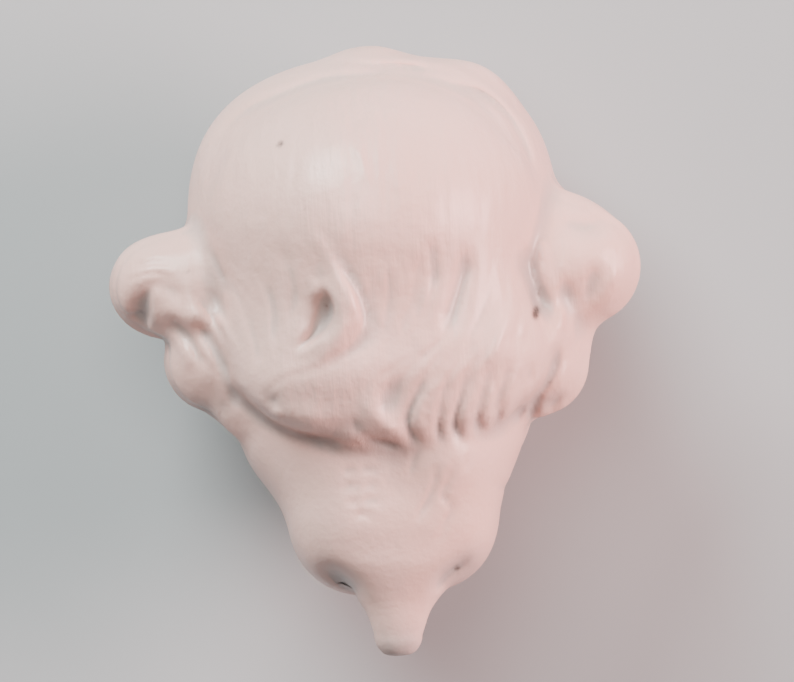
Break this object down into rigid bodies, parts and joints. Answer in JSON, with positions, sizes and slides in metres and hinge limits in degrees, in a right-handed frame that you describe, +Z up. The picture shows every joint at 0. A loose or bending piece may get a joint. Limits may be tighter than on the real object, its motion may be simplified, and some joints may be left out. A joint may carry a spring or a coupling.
{
  "type": "porcelain doll head",
  "caption": "Glazed white porcelain doll head with rolled front hair, side curls, carved back hair, a short rounded neck stub and a tapered tongue below it.",
  "frame": {"origin": "on the surface that the head lies on, under the middle of its length and width", "axes": "the head lies on its face: +Z up through the back of the head, +Y towards the crown, +X to the right of a viewer who looks down on the back of the head"},
  "size_m": [0.035, 0.0403, 0.0264],
  "materials": {
    "porcelain": "warm white porcelain under a thin semi-gloss glaze, with brown dirt left in the crevices of the hair"
  },
  "bodies": {
    "root": {"doll_head": "porcelain"}
  },
  "joints": []
}
